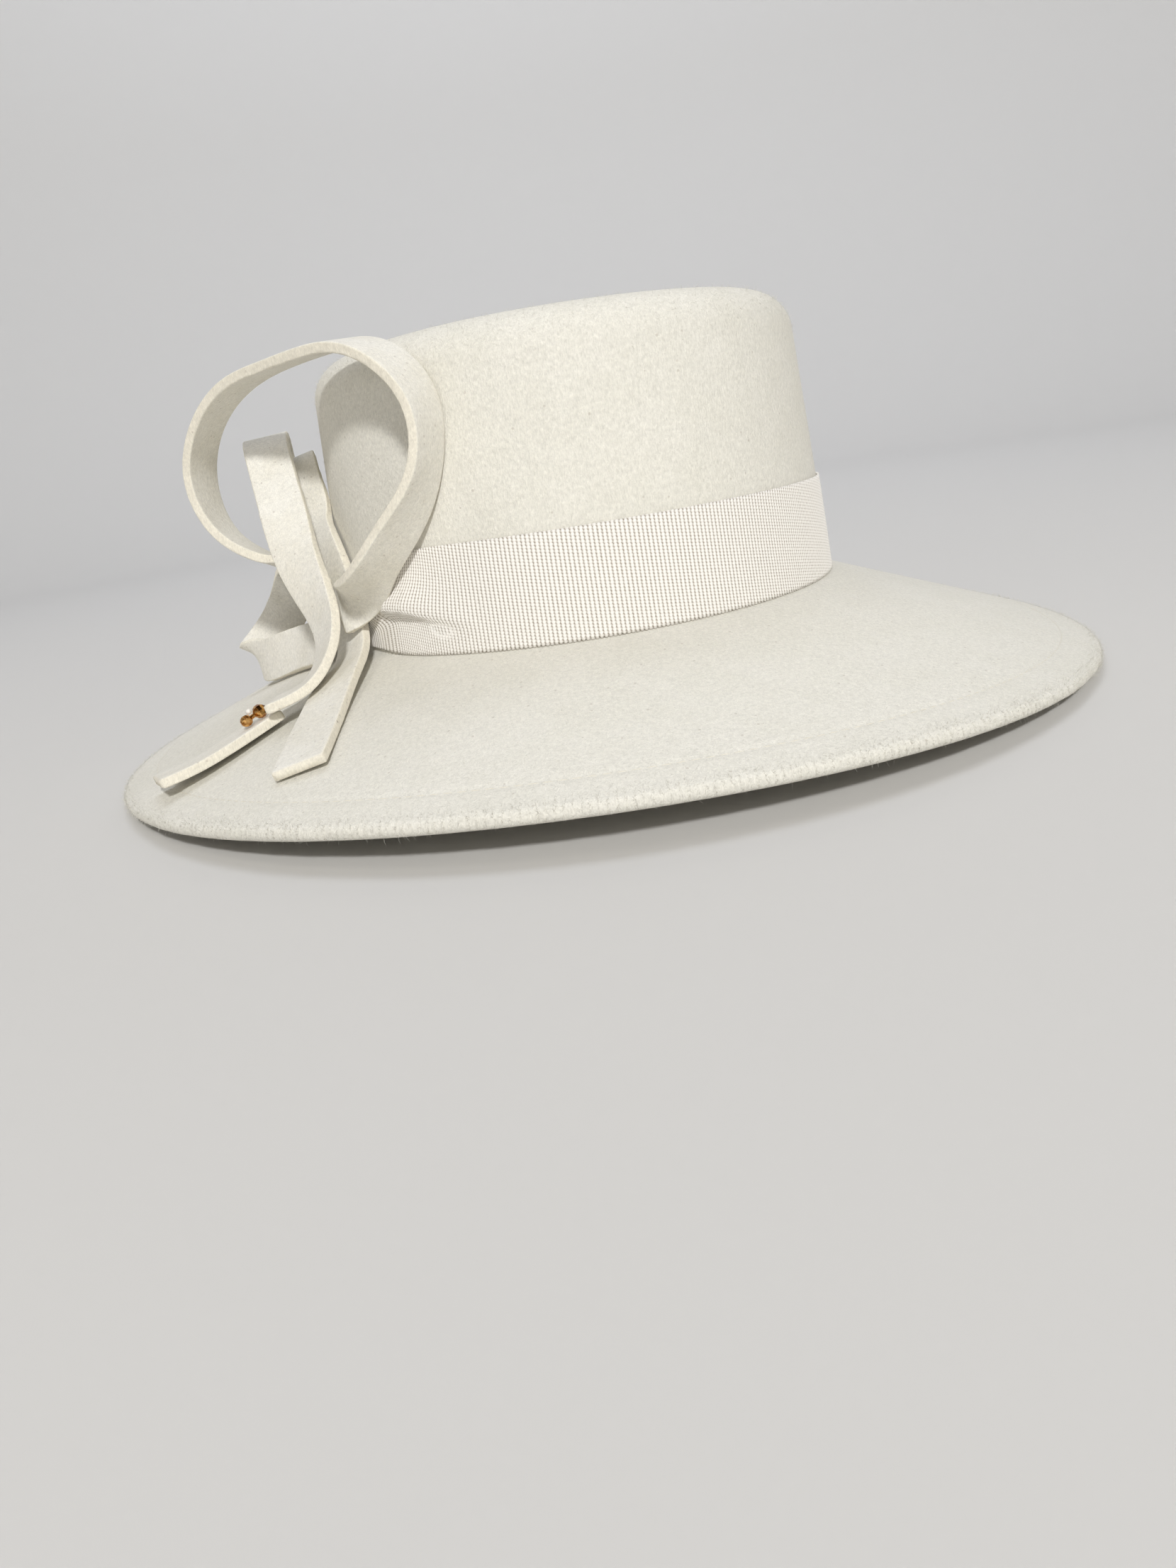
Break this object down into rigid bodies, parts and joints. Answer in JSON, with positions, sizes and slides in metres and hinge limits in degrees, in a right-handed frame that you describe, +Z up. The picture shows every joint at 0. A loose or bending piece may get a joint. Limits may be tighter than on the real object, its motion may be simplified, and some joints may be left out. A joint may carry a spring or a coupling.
{
  "type": "winter hat",
  "caption": "Cream wool-felt hat with a low flat crown, a wide down-sloping brim, a ribbed ribbon band and a looped felt bow held at the side.",
  "frame": {"origin": "middle of the hat's footprint, on the flat surface it stands on", "axes": "X left-right for the wearer, who looks along -Y, so +X is the wearer's left; Y along the head's length; Z up"},
  "size_m": [0.3474, 0.3578, 0.1285],
  "materials": {
    "cream wool felt": "soft, short-haired, matt",
    "cream felt strip": "pressed felt, matt, paler cut edges",
    "cream grosgrain ribbon": "ribbed, low sheen",
    "polished gold brass": "polished",
    "white bead": "glossy"
  },
  "bodies": {
    "root": {"felt_body": "cream wool felt", "ribbon_band": "cream grosgrain ribbon", "bow_ring_loop": "cream felt strip", "bow_upright_loop": "cream felt strip", "bow_long_tail": "cream felt strip", "bow_rear_loop": "cream felt strip", "tail_pin": "polished gold brass", "tail_pin_bead": "white bead"}
  },
  "joints": []
}
